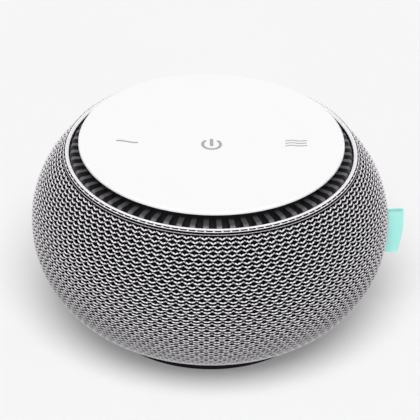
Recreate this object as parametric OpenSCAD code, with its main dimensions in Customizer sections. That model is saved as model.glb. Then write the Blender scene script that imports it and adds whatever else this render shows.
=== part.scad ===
// Fan sound machine: a small fan turns in a drum, under a shell that is covered with knitted fabric.
// Twisting the shell moves its shutter past the drum's ports, and that sets the tone.
// Millimetres. +Z is up, the front faces -Y, and the fabric tag is at +X.
// The origin is on the table, on the fan's axis.

/* [Outer body] */
// Largest diameter, over the knitted sleeve
shell_d = 142; // [138:1:150]
// Radius of the shell's rounded side
side_r = 43; // [42:0.5:45]
// Height of the side's centre over the height at which it would just touch the table
belly_rise = 0; // [-1:0.5:1.5]
// Distance from the shell's widest line in to the opening in its top
rim_in = 14.9; // [13:0.1:16]
// Thickness of the knitted sleeve
knit_t = 1.2; // [0.8:0.1:1.6]
// Radius of the rolled hem on the rim
hem_r = 1.15; // [0.9:0.05:1.4]
// Wall of the moulded frame under the sleeve
frame_t = 2.2; // [1.6:0.1:2.6]
// Windows in each of the frame's two rows
window_count = 24; // [18:1:30]
// Angle that each window spans
window_angle = 9; // [6:0.5:10]
// Height of the hoop between the two rows of windows
hoop_h = 4; // [2:0.5:6]

/* [Top plate] */
// Height of the plate's top over the hem
plate_rise = 4.5; // [3.5:0.05:6]
// Width of the louvred gap between plate and hem
gap_w = 3.75; // [3:0.05:4.5]
// Thickness of the plate
plate_t = 2.4; // [2:0.1:3]
// Thickness of the plate's thin edge
plate_edge_t = 1.2; // [0.8:0.1:1.5]
// Radius of the plate's rounded top edge
plate_round = 0.5; // [0.3:0.1:0.7]
// Distance of the two wave symbols from the middle
symbol_x = 33.2; // [28:0.1:37]
// Distance of the wave symbols in front of the middle
wave_front = 1.4; // [0:0.05:3]
// Distance of the power symbol in front of the middle
power_front = 2.9; // [0:0.1:4]
// Turn of the row of symbols against the tag
symbol_turn = 1.2; // [-5:0.1:5]
// Length of the wave symbols
wave_l = 8.5; // [7:0.5:10]
// Outer diameter of the power symbol
power_d = 8.2; // [7:0.2:10]
// Width of the power symbol's ring
power_line = 1.15; // [0.8:0.05:1.4]
// Width of the power symbol's bar
power_bar = 1.3; // [0.8:0.05:1.8]
// Width of the single wave's line
wave_line = 0.95; // [0.5:0.05:1]
// Width of each line of the three waves
fine_line = 0.65; // [0.5:0.05:1]
// Space from one wave line to the next
wave_step = 1.85; // [1.5:0.05:2.2]
// Depth of the inlaid symbols
symbol_t = 0.4; // [0.3:0.1:0.8]

/* [Louvre ring] */
// Fins round the ring
fin_count = 67; // [60:1:72]
// Thickness of each fin
fin_t = 2.05; // [1.4:0.05:2.4]
// Distance from the plate's top down to the fins' tops
fin_drop = 4.75; // [4:0.05:6]
// Radius of the fins' rounded outer shoulder
fin_shoulder = 1.6; // [1:0.1:2]
// Angle from the front to the nearest fin
fin_turn = -1.5; // [-2.5:0.1:2.5]
// Height of the louvre ring under the fins' tops
louvre_h = 13.6; // [11:0.1:15]
// Thickness of the ring's outer wall
louvre_wall = 1.1; // [0.8:0.1:1.5]
// Thickness of the inner wall that carries the plate
louvre_inner_t = 2.8; // [2.4:0.1:3.2]
// Overhang of the plate past that wall
plate_overhang = 2.9; // [2:0.1:3.5]

/* [Base] */
// Thickness of the rubber foot ring
foot_t = 2; // [1:0.25:3]
// Width of the rubber foot ring
foot_w = 5.4; // [4:0.2:7]
// Thickness of the base pan's floor
pan_t = 2.2; // [1.8:0.1:3]
// Height of the ledge over the floor
ledge_h = 0.6; // [0.2:0.1:1]
// Thickness of the slip ring on the ledge
slip_t = 0.6; // [0.4:0.1:1]
// Width of the shell's lowest face
land_w = 1.9; // [1.5:0.1:2.4]
// Height of the shell's bearing ring
bearing_h = 5.3; // [4.5:0.1:6.5]
// Wall of the journal that the shell turns on
journal_t = 2.8; // [2.4:0.1:3.2]
// Width of each air slot in the floor
slot_w = 3.2; // [2:0.1:3.6]
// Space between two rows of air slots
slot_gap = 1.8; // [1.2:0.1:2.4]
// Angle that each air slot spans
slot_angle = 22; // [14:1:24]
// Radius of the innermost row of air slots
slot_r = 15; // [14:0.5:16]

/* [Tone control] */
// Angle that the shell twists, from open to closed
twist_range = 30; // [20:1:32]
// Groups of ports round the drum
port_groups = 6; // [4:1:6]
// Slots in each group
port_slots = 3; // [2:1:4]
// Angle of the ribs between a group's slots
port_rib = 1.6; // [1:0.1:2.5]
// Angle by which the closed shutter overlaps a port
port_overlap = 1; // [0.5:0.5:2]
// Wall of the shutter
shutter_t = 1.6; // [1.2:0.1:2]
// Space between drum and shutter
shutter_gap = 0.6; // [0.4:0.1:1]
// Angle of the stop lug
lug_angle = 6; // [4:1:10]
// Depth of the stop lug
lug_depth = 1.2; // [0.8:0.1:1.3]

/* [Drum] */
// Wall of the drum
drum_t = 1.8; // [1.4:0.1:2.2]
// Thickness of the drum's flange
flange_t = 1.6; // [1.2:0.1:2]
// Height of the deck over the fan
deck_over_fan = 11.4; // [11:0.1:14]
// Thickness of the deck
deck_t = 2; // [1.6:0.1:3]
// Height of the deck's raised rim
deck_rim_h = 5; // [4:0.5:7]

/* [Fan] */
// Space between the fan's tips and the drum
fan_gap = 5; // [4.4:0.1:7]
// Blades round the fan
blade_count = 11; // [7:1:13]
// Thickness of a blade
blade_t = 1.2; // [0.8:0.1:1.6]
// Thickness of the fan's plates
fan_plate_t = 1.6; // [1.2:0.1:2]
// Width of the ring under the blades
shroud_w = 8; // [5:0.5:10]

/* [Motor] */
// Diameter of the motor's shaft
shaft_d = 3; // [2.5:0.1:3.4]
// Outer radius of the rotor cup
cup_r = 16.2; // [15.8:0.1:17.5]
// Thickness of the magnet ring
magnet_t = 1.3; // [1:0.1:1.6]
// Height of the stator's iron stack
stack_h = 8; // [6:0.5:9]
// Teeth on the stator
tooth_count = 9; // [6:3:9]
// Width of a stator tooth
tooth_w = 2.4; // [1.8:0.1:2.6]
// Thickness of each winding
coil_t = 0.9; // [0.6:0.05:1]
// Thickness of the motor mount
mount_t = 2; // [1.6:0.1:3]
// Width of the mount's three arms
arm_w = 7; // [5:0.5:8]
// Radius of the rubber isolators' collars
isolator_r = 4.2; // [3.8:0.1:4.4]
// Height of each collar
collar_h = 2; // [1.5:0.1:3]

/* [Power inlet] */
// Diameter of the plug that the recess takes
plug_d = 10; // [8:0.5:11]
// Length of the plug's body
plug_l = 14; // [12:0.5:15]
// Width of the barrel socket
jack_w = 9; // [8:0.1:9.6]
// Height of the barrel socket
jack_h = 8; // [7.4:0.1:9]
// Length of the barrel socket
jack_l = 12; // [10:0.5:13]
// Diameter of the socket's hole
barrel_d = 6.3; // [5.6:0.1:6.8]
// Diameter of the socket's centre pin
centre_pin_d = 2.1; // [1.6:0.1:2.5]
// Width of the notch that lets the cord out
cord_w = 5.2; // [4.4:0.2:7]

/* [Electronics] */
// Thickness of the circuit boards
board_t = 1.6; // [1:0.1:2]
// Space from the control board's edge to the leads' middle
board_gap = 5.2; // [4.2:0.1:7.2]
// Height of the standoffs under it
standoff_h = 4; // [3:0.5:4.5]
// Diameter of the power lead
lead_d = 1.8; // [1.2:0.1:2.2]

/* [Tag] */
// Height of the tag's lower edge
tag_z = 29.3; // [20:0.1:34]
// Height of the tag
tag_h = 19.5; // [15:0.5:26]
// Distance that the tag stands out
tag_out = 6.1; // [4:0.1:8]
// Thickness of the folded tag
tag_t = 1.3; // [0.8:0.1:2]

/* [Fits] */
// Clearance round the twisting shell
twist_gap = 0.3; // [0.3:0.05:0.5]
// Radial clearance of the running shaft
shaft_gap = 0.03; // [0.02:0.01:0.08]
// Clearance of pressed and dropped-in pieces
seat_gap = 0.05; // [0.02:0.01:0.1]
// Radius of the housing screws
screw_r = 0.95; // [0.8:0.05:1.1]

/* [Hidden] */
$fn = 96;

// Colours
black_plastic = [0.06, 0.06, 0.065];
charcoal_plastic = [0.2, 0.2, 0.21];
white_plastic = [0.96, 0.96, 0.96];
grey_print = [0.62, 0.62, 0.62];
board_green = [0.05, 0.3, 0.18];
knit_grey = [0.55, 0.54, 0.56];
hem_grey = [0.87, 0.85, 0.87];
tag_mint = [0.62, 0.95, 0.9];
steel = [0.7, 0.71, 0.72];
copper = [0.72, 0.4, 0.2];
brass = [0.78, 0.62, 0.3];
dark_rubber = [0.1, 0.1, 0.1];

// The shell's side is one arc about this centre, turned round the axis.
side_x = shell_d / 2 - side_r;
belly_z = side_r + belly_rise;
rim_r = shell_d / 2 - rim_in;
wrap_gap = 0.2;
tag_gap = 0.15;
knit_in = side_r - knit_t;
frame_out = knit_in - wrap_gap;
frame_in = frame_out - frame_t;
function arc_x(r, z) = side_x + sqrt(r * r - (z - belly_z) * (z - belly_z));
function arc_top(r, x) = belly_z + sqrt(r * r - (x - side_x) * (x - side_x));

// Base: the pan's heights and the radii of journal, ledge and foot
pan_top = foot_t + pan_t;
ledge_z = pan_top + ledge_h;
slip_top = ledge_z + slip_t;
bearing_z = slip_top + twist_gap;
bearing_top = bearing_z + bearing_h;
flange_z = bearing_top + twist_gap;
land_r = arc_x(frame_out, bearing_z);
shell_bore = land_r - land_w;
journal_r = shell_bore - twist_gap;
journal_in = journal_r - journal_t;
side_gap = 0.3;
turn_gap = twist_gap + 0.1;
ledge_in = 1;
ledge_r = land_r - ledge_in;
ledge_round = 1.5;
foot_r = journal_r - side_gap;
foot_bevel = 0.4;
foot_in = foot_r - foot_w;
knit_bore = ledge_r + turn_gap;
knit_z = pan_top;

// Outer body: the shelf that carries the shutter, and the rim
shelf_w = 3.6;
shelf_bore = shell_bore + shelf_w;
flange_r = shelf_bore - turn_gap;
shelf_z = flange_z + flange_t + turn_gap;
rim_x = rim_r + hem_r;
hem_z = arc_top(side_r - knit_t / 2, rim_x);
hem_top = hem_z + hem_r;
knit_top = hem_z - hem_r - seat_gap;
cap_gap = 0.1;
frame_top = knit_top - cap_gap;
frame_bore = rim_r + side_gap;
window_sill = 4;
window_head = 7.5;
window_z = shelf_z + window_sill;
window_top = frame_top - window_head;
shutter_land = 2.4;
shutter_x = shelf_bore + shutter_land;
shutter_flange_t = 1.5;
shutter_bite = 2.8;

// Housing screws
head_r = 2 * screw_r + 0.1;
head_h = 1.4;
hole_r = screw_r + seat_gap;
hole_floor = 1;
tip_gap = 0.5;

// Top: the plate, the louvre ring under it and the deck that carries both
plate_top = hem_top + plate_rise;
plate_z = plate_top - plate_t;
plate_r = rim_r - gap_w;
fin_top = plate_top - fin_drop;
louvre_z = fin_top - louvre_h;
louvre_r = rim_r - turn_gap;
louvre_band = 8;
inner_out = plate_r - plate_overhang;
inner_in = inner_out - louvre_inner_t;
deck_z = louvre_z - deck_rim_h - deck_t;
deck_top = deck_z + deck_t;
deck_lip = 0.4;
deck_r = inner_out + deck_lip;
deck_rib_gap = 0.15;
deck_rib_t = 1.25;
deck_rib_h = 1.5;
plate_web = 0.6;
locator_r = inner_in - side_gap;
locator_t = 1.3;
locator_h = 3;
touch_gap = 2.2;
touch_r = locator_r - locator_t - touch_gap;
louvre_screw_x = inner_in + louvre_inner_t / 2;
louvre_bite = 5;

// Drum, ports and shutter
screw_room = head_r + side_gap + deck_rib_t + deck_rib_gap;
drum_r = min(journal_r - side_gap, louvre_screw_x - screw_room);
drum_in = drum_r - drum_t;
drum_top = deck_z;
shutter_in = drum_r + shutter_gap;
shutter_out = shutter_in + shutter_t;
shutter_drop = 4;
shutter_top = drum_top - shutter_drop;
port_sill = 7;
port_margin = 0.5;
boss_h = 9;
port_z = shelf_z + port_sill;
port_top = drum_top - boss_h - port_margin;
group_pitch = 360 / port_groups;
group_angle = min(twist_range, group_pitch - twist_range) - 2 * port_overlap;
port_angle = (group_angle - (port_slots - 1) * port_rib) / port_slots;
shutter_angles = [for (i = [0:port_groups - 1]) i * group_pitch + (group_pitch + group_angle) / 2];
stop_gap = 0.5;
lug_start = -93;
lug_rise = 1.4;
lug_z = bearing_z + lug_rise;
lug_top = bearing_top - side_gap;

// Screwed bosses in the drum and the pan
boss_r = 2.9;
boss_inset = 1;
boss_x = drum_in - boss_r - boss_inset;
boss_rib_t = 2.4;
boss_angles = [45, 135, 225, 315];

// Power inlet: the plug's trough and the socket's pocket
pocket_wall = 1.6;
plug_gap = 0.5;
trough_w = plug_d + 2 * plug_gap;
plug_top = foot_t + plug_d + plug_gap;
block_top = plug_top + pocket_wall;
block_w = max(trough_w, jack_w + 2 * seat_gap) + 2 * pocket_wall;
function chord_y(r, w) = sqrt(r * r - w * w / 4);
block_y = chord_y(journal_in, block_w) - side_gap;
plug_end = min(chord_y(foot_in, trough_w) - side_gap, block_y - pocket_wall);
plug_y = plug_end - plug_l;
jack_y = plug_y - jack_l;
jack_axis_z = foot_t + (plug_d + plug_gap) / 2;
pin_l = 9.5;

// Motor: everything stands on the mount
mount_gap = 1.5;
mount_z = block_top + mount_gap;
mount_top = mount_z + mount_t;
lower_collar_h = 2 * collar_h;
mount_boss_top = mount_z - lower_collar_h;
mount_x = drum_in - fan_gap - isolator_r;
mount_angles = [30, 150, 270];
mount_hub_r = 11;
eyelet_w = 0.8;
isolator_bore = 1.7;
isolator_neck = 2.5;
isolator_screw_r = 1.5;
isolator_head_r = 3.2;
isolator_head_h = 1.8;
isolator_top = mount_top + collar_h;
bush_wall = 1.5;
tube_wall = 1;
tube_in = shaft_d / 2 + bush_wall;
tube_r = tube_in + tube_wall;
tube_flange_r = tube_r + 3;
tube_flange_t = 1;
motor_board_z = mount_top + tube_flange_t;
motor_board_t = 1.2;
motor_board_in = tube_r + 1.4;
motor_board_r = cup_r - 3.2;
coil_drop = coil_t + 0.3;
tube_collar_h = 1.4;
tube_collar_w = 1.2;
stack_z = motor_board_z + motor_board_t + tube_collar_h + coil_drop;
stack_top = stack_z + stack_h;
tube_over = 2;
tube_top = stack_top + tube_over;
cup_wall = 1;
magnet_out = cup_r - cup_wall - seat_gap;
magnet_in = magnet_out - magnet_t;
magnet_over = 0.5;
air_gap = 0.6;
pole_r = magnet_in - air_gap;
shoe_t = 1.3;
slot_open = 1.8;
core_r = tube_r + 3;
coil_gap = 0.3;
coil_in = core_r + coil_gap;
coil_out = pole_r - shoe_t - coil_gap;
bearing_l = 3.5;
bearing_rise = 2;
bearing_drop = 0.5;
cup_under = 1.6;
cup_z = stack_z - cup_under;
cup_clear = 1.2;
cup_top = tube_top + cup_clear + cup_wall;
cup_hub_r = shaft_d / 2 + 2;
cup_hub_h = 2.8;
shaft_over = 0.4;
shaft_z = mount_z;
shaft_top = cup_top + cup_hub_h + shaft_over;
groove_depth = 0.3;
clip_t = 0.5;
clip_w = 1.1;
clip_z = mount_z + bearing_rise - clip_t - 0.4;

// Fan
fan_r = drum_in - fan_gap;
fan_under = 1.2;
fan_z = isolator_top + isolator_head_h + fan_under;
fan_top = deck_z - deck_over_fan;
fan_hub_in = cup_r + seat_gap;
fan_hub_t = 1.5;
fan_hub_rise = 1;
blade_root = 4;
blade_past = 2.9;
blade_centre = (fan_r + blade_past + blade_root) / 2;
blade_arc = (fan_r + blade_past - blade_root) / 2;
blade_inset = 0.5;

// Boards
lead_x = min(journal_in, drum_in) - lead_d / 2 - side_gap;
board_r = lead_x - board_gap;
board_z = deck_top + standoff_h;
board_top = board_z + board_t;
standoff_in = 5;
standoff_x = board_r - standoff_in;
standoff_r = 2.6;
standoff_angles = [0, 90, 180, 270];
header_h = 4.4;
touch_z = plate_z - board_t;
ribbon_w = 8;
ribbon_t = 0.3;
ribbon_in = 15;
ribbon_y = ribbon_in - board_r;
header_w = 5;
chip_w = 10;
chip_t = 1.6;
storage_r = 3.1;
storage_h = 6.5;
choke_w = 7;
choke_h = 4;
socket_in = 5;
socket_x = board_r - socket_in;
socket_w = 6;
socket_h = 5;

// Leads, by hand: out of the socket, along the floor, up inside the drum and in to the board
lead_end_gap = 0.1;
lead_lay_z = pan_top + lead_d / 2 + 2 * lead_end_gap;
lead_plug_z = board_top + socket_h / 2;
power_angle = 195;
motor_angle = 165;
lead_hole_gap = 0.8;
lead_hole_r = lead_d / 2 + lead_hole_gap;
lead_sides = 8;

// Shapes that many pieces share

module ring(r0, r1, z0, z1) {
    rotate_extrude()
        translate([r0, z0])
            square([r1 - r0, z1 - z0]);
}

module disc(r, z0, z1) {
    translate([0, 0, z0])
        cylinder(r = r, h = z1 - z0);
}

// Copies of the children at one radius, at each angle
module around(r, angles) {
    for (a = angles)
        rotate([0, 0, a])
            translate([r, 0, 0])
                children();
}

// Part of a ring, from angle a over the angle w
module arc_block(r0, r1, z0, z1, a, w) {
    rotate([0, 0, a])
        rotate_extrude(angle = w)
            translate([r0, z0])
                square([r1 - r0, z1 - z0]);
}

// A flat pie slice about the axis
module slice(r, a, w) {
    steps = ceil(w / 20);
    step = w / steps;
    far = r / cos(step / 2);
    polygon(concat([[0, 0]], [for (i = [0:steps]) far * [cos(a + i * step), sin(a + i * step)]]));
}

// Everything inside the shell's side arc of radius r, in the half plane that is turned
module side_disc(r) {
    translate([side_x, belly_z])
        circle(r = r, $fn = 240);
}

// A screw: a pan head with its underside at z, and a shank below it
module screw(r, head, z, l) {
    disc(head, z, z + head_h);
    disc(r, z - l, z + 0.2);
}

// A tube swept along a smooth curve through the points
function unit(v) = v / norm(v);
function blend4(a, b, c, d, t) =
    0.5 * (2 * b + (c - a) * t + (2 * a - 5 * b + 4 * c - d) * t * t
        + (3 * b - a - 3 * c + d) * t * t * t);
function smooth_path(p, n) = concat(
    [for (i = [0:len(p) - 2], j = [0:n - 1])
        blend4(p[max(i - 1, 0)], p[i], p[i + 1], p[min(i + 2, len(p) - 1)], j / n)],
    [p[len(p) - 1]]);
function tangents(p) = [for (i = [0:len(p) - 1])
    unit(p[min(i + 1, len(p) - 1)] - p[max(i - 1, 0)])];
function across(t, v) = unit(v - t * (v * t));
function carried(ts, ns) = len(ns) == len(ts) ? ns
    : carried(ts, concat(ns, [across(ts[len(ns)], ns[len(ns) - 1])]));

module swept_tube(points, d) {
    path = smooth_path(points, 4);
    ts = tangents(path);
    ns = carried(ts, [across(ts[0], abs(ts[0][2]) < 0.7 ? [0, 0, 1] : [1, 0, 0])]);
    last = len(path) - 1;
    verts = [for (i = [0:last], k = [0:lead_sides - 1])
        let (a = 360 * k / lead_sides)
            path[i] + d / 2 * (ns[i] * cos(a) + cross(ts[i], ns[i]) * sin(a))];
    walls = [for (i = [0:last - 1], k = [0:lead_sides - 1])
        let (b = i * lead_sides, q = (k + 1) % lead_sides)
            [b + k, b + lead_sides + k, b + lead_sides + q, b + q]];
    start = [[for (k = [0:lead_sides - 1]) k]];
    end = [[for (k = [lead_sides - 1:-1:0]) last * lead_sides + k]];
    polyhedron(verts, concat(walls, start, end));
}

// Base

module foot_ring() {
    color(dark_rubber)
        difference() {
            rotate_extrude()
                polygon([
                    [foot_in, 0], [foot_r - foot_bevel, 0], [foot_r, foot_bevel],
                    [foot_r, foot_t], [foot_in, foot_t]
                ]);
            cord_notch();
        }
}

// The way out for the cord, under the shell's lower edge
module cord_notch() {
    translate([-cord_w / 2, plug_end - 1, -1])
        cube([cord_w, shell_d, pan_top + 1]);
}

module pan_profile() {
    polygon([
        [0, foot_t], [foot_r, foot_t], [ledge_r, foot_t + ledge_round], [ledge_r, ledge_z],
        [journal_r, ledge_z], [journal_r, flange_z], [journal_in, flange_z],
        [journal_in, pan_top], [0, pan_top]
    ]);
}

// Three rows of arc slots let air up to the fan, clear of the inlet block and of the power lead.
module air_slots() {
    for (row = [0:2], a = [0:30:330])
        let (r0 = slot_r + row * (slot_w + slot_gap), beside = abs(a - 90))
            if (beside > 40 || (beside > 20 && r0 * cos(60 + slot_angle / 2) > block_w / 2 + 0.5))
                arc_block(r0, r0 + slot_w, foot_t - 1, pan_top + 1, a - slot_angle / 2, slot_angle);
}

module base_pan() {
    color(black_plastic)
        difference() {
            union() {
                rotate_extrude()
                    pan_profile();
                translate([-block_w / 2, jack_y, foot_t])
                    cube([block_w, block_y - jack_y, block_top - foot_t]);
                translate([-block_w / 2, jack_y, foot_t])
                    cube([block_w, block_y + 2 * side_gap - jack_y, flange_z - foot_t]);
                around(mount_x, mount_angles)
                    disc(isolator_r, foot_t, mount_boss_top);
                around(boss_x, boss_angles)
                    pan_boss();
            }
            air_slots();
            // Plug trough, open to the table
            translate([-trough_w / 2, plug_y, foot_t - 1])
                cube([trough_w, plug_l, plug_top - foot_t + 1]);
            // Socket pocket, open to the top and the front
            translate([-jack_w / 2 - seat_gap, jack_y - 1, jack_axis_z - jack_h / 2])
                cube([jack_w + 2 * seat_gap, jack_l + 1, block_top]);
            cord_notch();
            // Stop groove, open to the top
            arc_block(journal_r - lug_depth - side_gap, journal_r + 1, lug_z - turn_gap,
                flange_z + 1, lug_start - stop_gap, lug_angle + twist_range + 2 * stop_gap);
            around(mount_x, mount_angles)
                disc(isolator_screw_r + seat_gap, pan_top + hole_floor, mount_boss_top + 1);
            around(boss_x, boss_angles)
                disc(hole_r, pan_top + hole_floor, flange_z + 1);
        }
}

module pan_boss() {
    disc(boss_r, foot_t, flange_z);
    translate([0, -boss_rib_t / 2, foot_t])
        cube([journal_in + side_gap - boss_x, boss_rib_t, flange_z - foot_t]);
}

module slip_ring() {
    color(white_plastic)
        ring(journal_r + seat_gap, ledge_r - cap_gap, ledge_z, slip_top);
}

module dc_jack() {
    color(black_plastic)
        difference() {
            translate([-jack_w / 2, jack_y, jack_axis_z - jack_h / 2])
                cube([jack_w, jack_l, jack_h]);
            translate([0, jack_y + jack_l + 1, jack_axis_z])
                rotate([90, 0, 0])
                    cylinder(d = barrel_d, h = pin_l + 1);
        }
}

module jack_pin() {
    color(brass)
        translate([0, jack_y + jack_l, jack_axis_z])
            rotate([90, 0, 0])
                cylinder(d = centre_pin_d, h = pin_l);
}

// Motor mount on rubber

module motor_mount() {
    color(charcoal_plastic)
        difference() {
            union() {
                disc(mount_hub_r, mount_z, mount_top);
                for (a = mount_angles)
                    rotate([0, 0, a])
                        translate([0, -arm_w / 2, mount_z])
                            cube([mount_x, arm_w, mount_t]);
                around(mount_x, mount_angles)
                    disc(isolator_r + eyelet_w, mount_z, mount_top);
            }
            disc(tube_r + seat_gap, mount_z - 1, mount_top + 1);
            around(mount_x, mount_angles)
                disc(isolator_neck + seat_gap, mount_z - 1, mount_top + 1);
        }
}

module isolators() {
    color(dark_rubber)
        around(mount_x, mount_angles)
            rotate_extrude()
                polygon([
                    [isolator_bore, mount_boss_top], [isolator_r, mount_boss_top],
                    [isolator_r, mount_z], [isolator_neck, mount_z],
                    [isolator_neck, mount_top], [isolator_r, mount_top],
                    [isolator_r, isolator_top], [isolator_bore, isolator_top]
                ]);
}

module isolator_screws() {
    color(steel)
        around(mount_x, mount_angles) {
            disc(isolator_head_r, isolator_top, isolator_top + isolator_head_h);
            disc(isolator_screw_r, pan_top + hole_floor + tip_gap, isolator_top + 0.2);
        }
}

module bearing_tube() {
    color(brass)
        difference() {
            union() {
                disc(tube_r, mount_z, tube_top);
                disc(tube_flange_r, mount_top, motor_board_z);
                disc(tube_r + tube_collar_w, stack_z - tube_collar_h, stack_z);
            }
            disc(tube_in, mount_z - 1, tube_top + 1);
        }
}

module bearings() {
    color([0.6, 0.45, 0.25])
        for (z = [mount_z + bearing_rise, tube_top - bearing_l - bearing_drop])
            ring(shaft_d / 2 + shaft_gap, tube_in - seat_gap / 2, z, z + bearing_l);
}

module motor_board() {
    color(board_green)
        ring(motor_board_in, motor_board_r, motor_board_z, motor_board_z + motor_board_t);
}

module stator_core() {
    color(steel)
        difference() {
            disc(pole_r, stack_z, stack_top);
            disc(tube_r + seat_gap, stack_z - 1, stack_top + 1);
            difference() {
                ring(core_r, pole_r - shoe_t, stack_z - 1, stack_top + 1);
                for (i = [0:tooth_count - 1])
                    rotate([0, 0, i * 360 / tooth_count])
                        translate([0, -tooth_w / 2, stack_z - 2])
                            cube([pole_r, tooth_w, stack_h + 4]);
            }
            for (i = [0:tooth_count - 1])
                rotate([0, 0, (i + 0.5) * 360 / tooth_count])
                    translate([pole_r - shoe_t - 1, -slot_open / 2, stack_z - 1])
                        cube([shoe_t + 2, slot_open, stack_h + 2]);
        }
}

module stator_coils() {
    color(copper)
        for (i = [0:tooth_count - 1])
            rotate([0, 0, i * 360 / tooth_count])
                difference() {
                    translate([coil_in, -tooth_w / 2 - coil_t, stack_z - coil_t])
                        cube([coil_out - coil_in, tooth_w + 2 * coil_t, stack_h + 2 * coil_t]);
                    translate([coil_in - 1, -tooth_w / 2 - seat_gap, stack_z - seat_gap])
                        cube([coil_out - coil_in + 2, tooth_w + 2 * seat_gap, stack_h + 2 * seat_gap]);
                }
}

// Drum and deck

// The ports of one wall, as flat slices: groups of slots that line up while the shell is open
module port_slices() {
    for (g = [0:port_groups - 1], s = [0:port_slots - 1])
        slice(shell_d / 2, g * group_pitch + s * (port_angle + port_rib), port_angle);
}

module inner_boss(z0, z1) {
    disc(boss_r, z0, z1);
    translate([0, -boss_rib_t / 2, z0])
        cube([drum_in + side_gap - boss_x, boss_rib_t, z1 - z0]);
}

module sound_drum() {
    color(charcoal_plastic)
        difference() {
            union() {
                difference() {
                    ring(drum_in, drum_r, flange_z, drum_top);
                    translate([0, 0, port_z])
                        linear_extrude(port_top - port_z)
                            port_slices();
                }
                ring(drum_in, flange_r, flange_z, flange_z + flange_t);
                around(boss_x, boss_angles) {
                    inner_boss(flange_z, flange_z + flange_t);
                    inner_boss(drum_top - boss_h, drum_top);
                }
            }
            around(boss_x, boss_angles) {
                disc(hole_r, flange_z - 1, flange_z + flange_t + 1);
                disc(hole_r, drum_top - boss_h + hole_floor, drum_top + 1);
            }
        }
}

module drum_screws() {
    color(steel)
        around(boss_x, boss_angles)
            screw(screw_r, head_r, flange_z + flange_t,
                flange_z + flange_t - pan_top - hole_floor - tip_gap);
}

module top_deck() {
    rib_in = drum_r + deck_rib_gap;
    rib_out = rib_in + deck_rib_t;
    color(charcoal_plastic)
        difference() {
            union() {
                rotate_extrude()
                    polygon([
                        [0, deck_z], [rib_in, deck_z], [rib_in, deck_z - deck_rib_h],
                        [rib_out, deck_z - deck_rib_h], [rib_out, deck_z], [deck_r, deck_z],
                        [deck_r, louvre_z], [inner_in, louvre_z], [inner_in, deck_top],
                        [0, deck_top]
                    ]);
                around(standoff_x, standoff_angles)
                    disc(standoff_r, deck_z, board_z);
            }
            around(boss_x, boss_angles)
                disc(hole_r, deck_z - 1, deck_top + 1);
            around(lead_x, [power_angle, motor_angle])
                disc(lead_hole_r, deck_z - 1, deck_top + 1);
            around(standoff_x, standoff_angles)
                disc(hole_r, deck_top, board_z + 1);
            around(louvre_screw_x, boss_angles)
                disc(hole_r, deck_z - 1, louvre_z + 1);
        }
}

module deck_screws() {
    color(steel)
        around(boss_x, boss_angles)
            screw(screw_r, head_r, deck_top, deck_t + boss_h - hole_floor - tip_gap);
}

// Electronics

module main_board() {
    color(board_green)
        difference() {
            disc(board_r, board_z, board_top);
            around(standoff_x, standoff_angles)
                disc(hole_r, board_z - 1, board_top + 1);
        }
}

module board_parts() {
    color(black_plastic) {
        translate([-chip_w / 2, 4, board_top])
            cube([chip_w, chip_w, chip_t]);
        translate([-ribbon_w / 2 - 1, ribbon_y - header_w / 2, board_top])
            cube([ribbon_w + 2, header_w, header_h]);
        for (x = [12, 20])
            translate([x, -12, 0])
                disc(storage_r, board_top, board_top + storage_h);
        translate([13, 8, board_top])
            cube([choke_w, choke_w, choke_h]);
    }
    color(white_plastic)
        for (a = [power_angle, motor_angle])
            rotate([0, 0, a])
                translate([socket_x - socket_w, -socket_w / 2, board_top])
                    cube([socket_w, socket_w, socket_h]);
}

module board_screws() {
    color(steel)
        around(standoff_x, standoff_angles)
            screw(screw_r, head_r, board_top, board_t + standoff_h - tip_gap);
}

// A point at radius r and angle a, at height z
function place(r, a, z) = [r * cos(a), r * sin(a), z];

module power_lead() {
    color(dark_rubber)
        swept_tube([
            [0, jack_y - side_gap, jack_axis_z], [0, jack_y - 4, jack_axis_z],
            [-6, jack_y - 10, lead_lay_z],
            place(12, power_angle, lead_lay_z), place(24, power_angle, lead_lay_z),
            place(lead_x - 5, power_angle, lead_lay_z), place(lead_x - 0.6, power_angle, lead_lay_z + 1.6),
            place(lead_x, power_angle, lead_lay_z + 8), place(lead_x, power_angle, (pan_top + deck_z) / 2),
            place(lead_x, power_angle, deck_z - 4), place(lead_x, power_angle, deck_top + 3),
            place(lead_x - 1.2, power_angle, lead_plug_z - 1.2),
            place(socket_x + 5, power_angle, lead_plug_z),
            place(socket_x + lead_end_gap, power_angle, lead_plug_z)
        ], lead_d);
}

module motor_lead() {
    lay_z = mount_top + lead_d / 2 + 2 * lead_end_gap;
    edge_z = motor_board_z + motor_board_t / 2;
    color([0.5, 0.08, 0.08])
        swept_tube([
            place(motor_board_r + lead_end_gap, 152, edge_z), place(motor_board_r + 2, 152, edge_z),
            place(motor_board_r + 6, 153, lay_z), place(mount_x - 9, 154, lay_z),
            place(mount_x - 4, 159, lay_z), place(lead_x - 3, motor_angle, lay_z + 0.4),
            place(lead_x, motor_angle, lay_z + 5), place(lead_x, motor_angle, (pan_top + deck_z) / 2),
            place(lead_x, motor_angle, deck_z - 4), place(lead_x, motor_angle, deck_top + 3),
            place(lead_x - 1.2, motor_angle, lead_plug_z - 1.2),
            place(socket_x + 5, motor_angle, lead_plug_z),
            place(socket_x + lead_end_gap, motor_angle, lead_plug_z)
        ], lead_d);
}

module touch_board() {
    color(board_green)
        disc(touch_r, touch_z, plate_z);
}

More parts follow.
